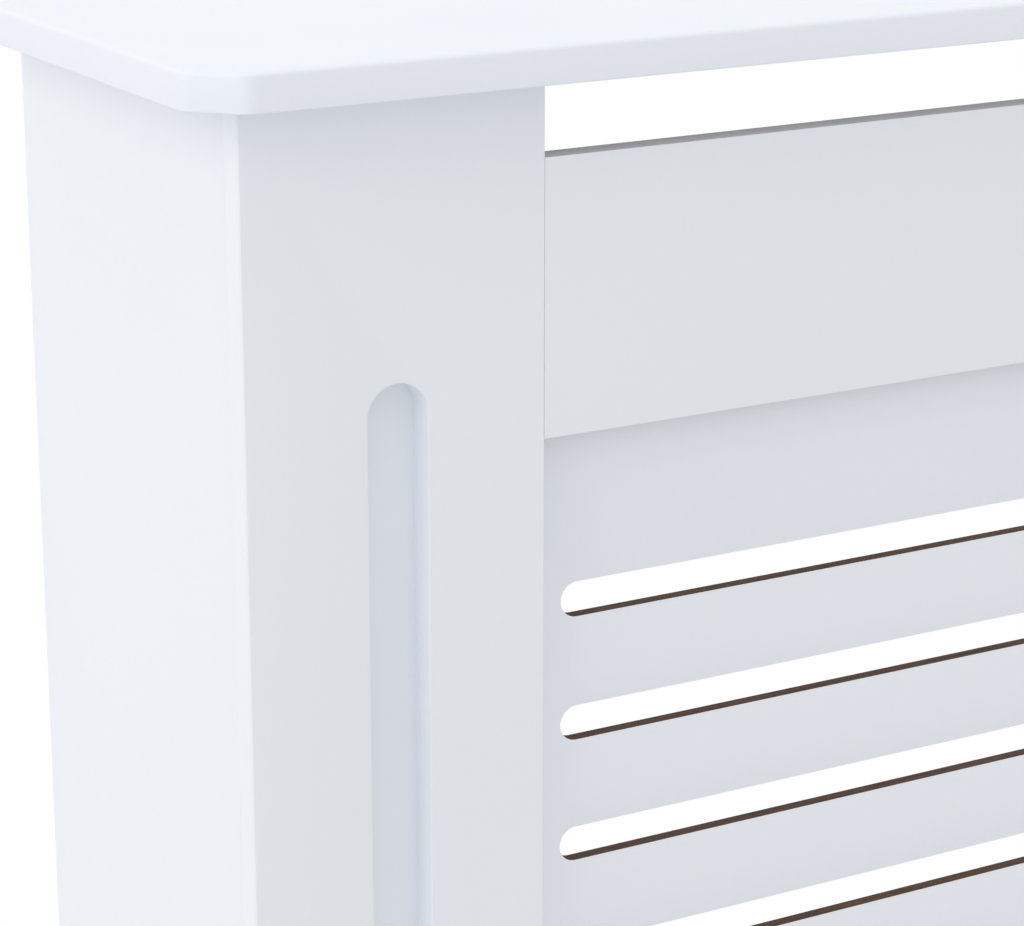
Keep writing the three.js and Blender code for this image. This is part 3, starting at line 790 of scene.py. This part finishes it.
class COVER_OT_brackets(bpy.types.Operator):
    """Finish the wall brackets in bright zinc"""

    bl_idname = "cover.brackets"
    bl_label = "Wall brackets"

    def execute(self, context):
        zinc = zinc_plate("bracket_zinc", context.scene.cover_colours.zinc)
        for side in SIDES:
            paint_node(f"wall_bracket_{side}", zinc)
        return {"FINISHED"}


def along_box(node, flip=False):
    """Stands a turned form in a node's box: its axis runs along the box's longest side, from the lower end,
    or from the upper end where flip is set. Returns the placing function, the length and the width."""
    low, high = (np.array(corner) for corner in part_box(node))
    size = high - low
    axis = int(np.argmax(size))
    others = [(axis + 1) % 3, (axis + 2) % 3]
    middle = (low + high) / 2

    def place(rows):
        placed = np.empty_like(rows)
        sign = -1 if flip else 1
        placed[:, axis] = (high if flip else low)[axis] + sign * rows[:, 2]
        placed[:, others[0]] = middle[others[0]] + rows[:, 0]
        placed[:, others[1]] = middle[others[1]] + sign * rows[:, 1]
        return placed

    return place, size[axis], np.delete(size, axis).max()


def head_is_high(node):
    """True where a screw's head is at the upper end of its box: the widest points are there."""
    rim_share = 0.45                    # of the box's width; only the head's rim is so far from the axis
    points = np.array([vertex.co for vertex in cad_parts[node].data.vertices])
    low, high = points.min(0), points.max(0)
    axis = int(np.argmax(high - low))
    off_axis = np.delete(points - (low + high) / 2, axis, 1)
    widest = np.linalg.norm(off_axis, axis=1) > rim_share * np.delete(high - low, axis).max()
    return points[widest, axis].mean() > (low + high)[axis] / 2


def screw_mesh(node, fittings):
    """A countersunk screw, whose height counts from the head's face. The face is a disc that sinks where a
    point lies in either wing of the cross. The head narrows along a cone whose radius falls as its height
    grows. The shank's radius is its half width less depth * (1 - a pointed wave of height / pitch + angle /
    turn). The tip is a cone."""
    lip = 0.2 * MM                      # straight side of the head, above its cone
    wing_slope, end_slope = 0.2 * MM, 0.35 * MM     # widths of the recess's sloping walls
    wing_reach = 0.62                   # from the axis, as a share of the head's radius
    runout = 0.3 * MM                   # smooth step from the cone to the thread
    ridge_width = 0.625                 # of the thread, as a share of its pitch
    tip_share = 0.45                    # of the shank's radius, halfway down the tip
    face_rows, cone_rows, rows_in_turn = 15, 4, 6
    place, size, width = along_box(node, flip=head_is_high(node))
    head, shank = width / 2, fittings.shank / 2
    cone_end, tip = head - shank + lip, size - fittings.shank

    angle = np.linspace(0, math.tau, fittings.turn_steps, endpoint=False)[None, :]
    round_axis = np.ones_like(angle)
    face_radius = np.linspace(0, head, face_rows)[:, None] * round_axis
    off_wing = np.minimum(np.abs(face_radius * np.cos(angle)), np.abs(face_radius * np.sin(angle)))
    in_wing = np.clip((fittings.recess_width / 2 - off_wing) / wing_slope, 0, 1)
    in_reach = np.clip((wing_reach * head - face_radius) / end_slope, 0, 1)
    face_height = in_wing * in_reach * fittings.recess_depth

    cone_height = np.linspace(lip, cone_end, cone_rows)[:, None]
    cone_radius = head + lip - cone_height

    thread_rows = int((tip - cone_end) / fittings.thread_pitch * rows_in_turn)
    shank_height = np.linspace(cone_end + runout, tip, thread_rows)[:, None]
    turn = (shank_height / fittings.thread_pitch + angle / math.tau) % 1.0
    ridge = np.clip(1 - np.abs(turn - 0.5) * 2 / ridge_width, 0, 1)
    shank_radius = shank - fittings.thread_depth * (1 - ridge)

    tip_height = np.array([[(tip + size) / 2], [size]])
    tip_radius = np.array([[shank * tip_share], [0.0]])
    radius = [face_radius, cone_radius * round_axis, shank_radius, tip_radius * round_axis]
    height = [face_height] + [rows * round_axis for rows in (cone_height, shank_height, tip_height)]
    return turned_mesh(f"{node}_threaded", np.concatenate(radius), np.concatenate(height), place)


class COVER_OT_screws(bpy.types.Operator):
    """Build every screw with its cross recess and thread"""

    bl_idname = "cover.screws"
    bl_label = "Screws"

    def execute(self, context):
        zinc = zinc_plate("screw_zinc", context.scene.cover_colours.zinc)
        for node in sorted(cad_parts):
            if "_screw_" in node:
                mesh = screw_mesh(node, context.scene.cover_fittings)
                dress(f"{node}_threaded", mesh, [zinc], "zinc_steel", node)
        return {"FINISHED"}


def dowel_mesh(node, fittings):
    """A grooved dowel: its radius is half its width less the groove's depth times a raised cosine of
    grooves * angle, and both ends are chamfered."""
    chamfer = 0.6 * MM
    steps_in_groove = 6
    place, size, width = along_box(node)
    end_share = 1 - 2 * chamfer / width
    angle = np.linspace(0, math.tau, fittings.dowel_grooves * steps_in_groove, endpoint=False)[None, :]
    height = np.array([0, 0, chamfer, size / 2, size - chamfer, size, size])[:, None]
    share = np.array([0, end_share, 1, 1, 1, end_share, 0])[:, None]
    groove = fittings.groove_depth * (0.5 + 0.5 * np.cos(angle * fittings.dowel_grooves))
    radius = share * (width / 2 - groove)
    return turned_mesh(f"{node}_grooved", radius, height * np.ones_like(angle), place)


class COVER_OT_dowels(bpy.types.Operator):
    """Build every dowel with its glue grooves"""

    bl_idname = "cover.dowels"
    bl_label = "Dowels"

    def execute(self, context):
        colours = context.scene.cover_colours
        beech = planed_wood("beech_grain", colours.beech, dimmed(colours.beech, 0.3), "X", rings=420.0)
        for node in sorted(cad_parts):
            if node.startswith("dowel_"):
                mesh = dowel_mesh(node, context.scene.cover_fittings)
                dress(f"{node}_grooved", mesh, [beech], "beech", node)
        return {"FINISHED"}


def glide_mesh(node, fittings):
    """A foot glide: a flat pad with a rounded rim, and a stem with shallow barbs above it. Its profile is
    rows of (radius, height): the rim is a quarter circle, and the barbs' radius alternates."""
    stem, seat = 1.5 * MM, 2.7 * MM     # the stem's radius, and the height at which it starts
    rim, bevel = 1.0 * MM, 0.3 * MM     # roundings of the pad's lower and upper edges
    neck, nose = 0.8 * MM, 2 * MM       # plain stem below the barbs and above them
    barbs, groove_share, nose_share = 6, 0.8, 0.6   # shares of the stem's radius
    place, size, width = along_box(node)
    pad = width / 2
    quarter = np.linspace(0, math.pi / 2, 7)[1:, None]
    profile = np.concatenate([
        [(0, 0), (pad - rim, 0)],
        np.hstack([pad - rim + rim * np.sin(quarter), rim - rim * np.cos(quarter)]),
        [(pad, seat - bevel), (pad - bevel, seat), (stem, seat)],
        np.stack([stem * np.tile([1.0, groove_share], barbs),
                  seat + np.linspace(neck, size - seat - nose, 2 * barbs)], 1),
        [(stem * nose_share, size), (0, size)],
    ])
    round_axis = np.ones((1, fittings.turn_steps))
    return turned_mesh(f"{node}_moulded", profile[:, :1] * round_axis, profile[:, 1:] * round_axis, place)


class COVER_OT_glides(bpy.types.Operator):
    """Build the four foot glides"""

    bl_idname = "cover.glides"
    bl_label = "Foot glides"

    def execute(self, context):
        plastic = moulded_plastic("glide_plastic", context.scene.cover_colours.plastic)
        for node in sorted(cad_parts):
            if node.startswith("foot_glide_"):
                mesh = glide_mesh(node, context.scene.cover_fittings)
                dress(f"{node}_moulded", mesh, [plastic], "grey_plastic", node)
        return {"FINISHED"}


# ---------------------------------------------------------------------------------------------
# Stage
# ---------------------------------------------------------------------------------------------
def seen_white(nodes):
    """1 for rays that come from the eye, straight, by a mirror or through glass, and 0 for light."""
    path = nodes.node("ShaderNodeLightPath").outputs
    straight, mirrored, through = (
        Level(nodes, path[f"Is {kind} Ray"]) for kind in ("Camera", "Glossy", "Transmission"))
    return (straight + mirrored + through).at_most(1.0)


def studio_floor(stage, covered, tone):
    """A pale floor that keeps the object's shadow and fades to plain white away from it. The fade follows
    the distance from the rectangle that the object covers, hypot(max(|x| - w, 0), max(|y| - d, 0)), and
    starts at a tenth of the white reach. covered is that rectangle's far corner."""
    shade = Shade("studio_floor")
    across = (shade.along_axis("X").size() - covered.x).at_least(0.0)
    along = (shade.along_axis("Y").size() - covered.y).at_least(0.0)
    distance = (across ** 2.0 + along ** 2.0) ** 0.5
    fade = shade.spread(distance, stage.white_reach * 0.1, stage.white_reach)
    grain = shade.noise(60.0, detail=3.0)
    shade.finish(Base_Color=shade.blend(grain, tone, dimmed(tone, 0.01)), Roughness=0.8)
    white = shade.node("ShaderNodeEmission", None, {"Color": (1, 1, 1, 1), "Strength": 1.0})
    mix = shade.node("ShaderNodeMixShader", None, {
        0: fade * seen_white(shade), 1: shade.surface.outputs["BSDF"], 2: white.outputs["Emission"]})
    shade.feed(shade.tree.nodes["Material Output"].inputs["Surface"], mix.outputs["Shader"])
    half = stage.floor_size / 2
    corners = [(-half, -half, 0), (half, -half, 0), (half, half, 0), (-half, half, 0)]
    floor = bpy.data.objects.new("floor", filled_mesh("floor", corners, [(0, 1, 2, 3)], smooth=False))
    floor.data.materials.append(shade.material)
    bpy.context.scene.collection.objects.link(floor)


def studio_world(scene, ambient):
    """Even light of the ambient strength from all round, which the eye sees as plain white."""
    scene.world = bpy.data.worlds.new("studio")
    scene.world.use_nodes = True
    sky = Nodes(scene.world.node_tree)
    background = sky.tree.nodes["Background"].inputs
    sky.feed(background["Color"], (1, 1, 1, 1))
    sky.feed(background["Strength"], sky.spread(seen_white(sky), 0.0, 1.0, ambient, 1.0))


def soft_lamp(name, place, aim, size, power):
    """A large square area lamp that points at a target."""
    data = bpy.data.lights.new(name, "AREA")
    data.shape = "SQUARE"
    data.size = size
    data.energy = power
    lamp = bpy.data.objects.new(name, data)
    bpy.context.scene.collection.objects.link(lamp)
    lamp.location = place
    direction = np.array(aim, float) - np.array(place, float)
    heading = math.atan2(direction[1], direction[0]) - math.pi / 2
    rise = math.atan2(direction[2], math.hypot(direction[0], direction[1]))
    lamp.rotation_euler = Euler((math.pi / 2 + rise, 0, heading))


def studio_camera(scene, stage):
    """A camera with nearly the photograph's view: it dips, where the photograph's uprights are parallel."""
    data = bpy.data.cameras.new("camera")
    data.sensor_width = FILM_WIDTH
    data.lens = stage.lens
    camera = bpy.data.objects.new("camera", data)
    scene.collection.objects.link(camera)
    camera.location = stage.camera_place
    camera.rotation_euler = Euler((math.pi / 2 - stage.camera_dip, 0, -stage.camera_heading))
    scene.camera = camera


class COVER_OT_stage(bpy.types.Operator):
    """Set up the floor, the world, the lamps and the camera"""

    bl_idname = "cover.stage"
    bl_label = "Stage"

    def execute(self, context):
        scene = context.scene
        stage = scene.cover_stage
        studio_floor(stage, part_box("top_shelf")[1], scene.cover_colours.floor)
        studio_world(scene, stage.ambient)
        soft_lamp("key_lamp", stage.key_place, stage.lamp_aim, stage.key_size, stage.key_power)
        soft_lamp("top_lamp", stage.top_place, stage.lamp_aim, stage.top_size, stage.top_power)
        studio_camera(scene, stage)
        scene.view_settings.view_transform = "Standard"
        return {"FINISHED"}


# ---------------------------------------------------------------------------------------------
# Sidebar and registration
# ---------------------------------------------------------------------------------------------
OPERATORS = (
    COVER_OT_shelf, COVER_OT_side_panels, COVER_OT_pilasters, COVER_OT_rails, COVER_OT_grille,
    COVER_OT_strips, COVER_OT_brackets, COVER_OT_screws, COVER_OT_dowels, COVER_OT_glides, COVER_OT_stage,
)
SETTINGS = {
    "cover_boards": CoverBoards,
    "cover_fittings": CoverFittings,
    "cover_colours": CoverColours,
    "cover_stage": CoverStage,
}


class COVER_PT_sidebar(bpy.types.Panel):
    """The cabinet's operators and settings in the 3D view's sidebar"""

    bl_idname = "COVER_PT_sidebar"
    bl_label = "Radiator cover cabinet"
    bl_space_type = "VIEW_3D"
    bl_region_type = "UI"
    bl_category = "Cover"

    def draw(self, context):
        for operator in OPERATORS:
            self.layout.operator(operator.bl_idname)
        for name, group in SETTINGS.items():
            box = self.layout.box()
            for setting in group.__annotations__:
                box.prop(getattr(context.scene, name), setting)


def register():
    for kind in (*SETTINGS.values(), *OPERATORS, COVER_PT_sidebar):
        bpy.utils.register_class(kind)
    for name, group in SETTINGS.items():
        setattr(bpy.types.Scene, name, PointerProperty(type=group))


def unregister():
    for name in SETTINGS:
        delattr(bpy.types.Scene, name)
    for kind in (COVER_PT_sidebar, *reversed(OPERATORS), *reversed(tuple(SETTINGS.values()))):
        bpy.utils.unregister_class(kind)


def main():
    register()
    for operator in OPERATORS:
        group, name = operator.bl_idname.split(".")
        getattr(getattr(bpy.ops, group), name)()


if __name__ == "__main__":
    main()
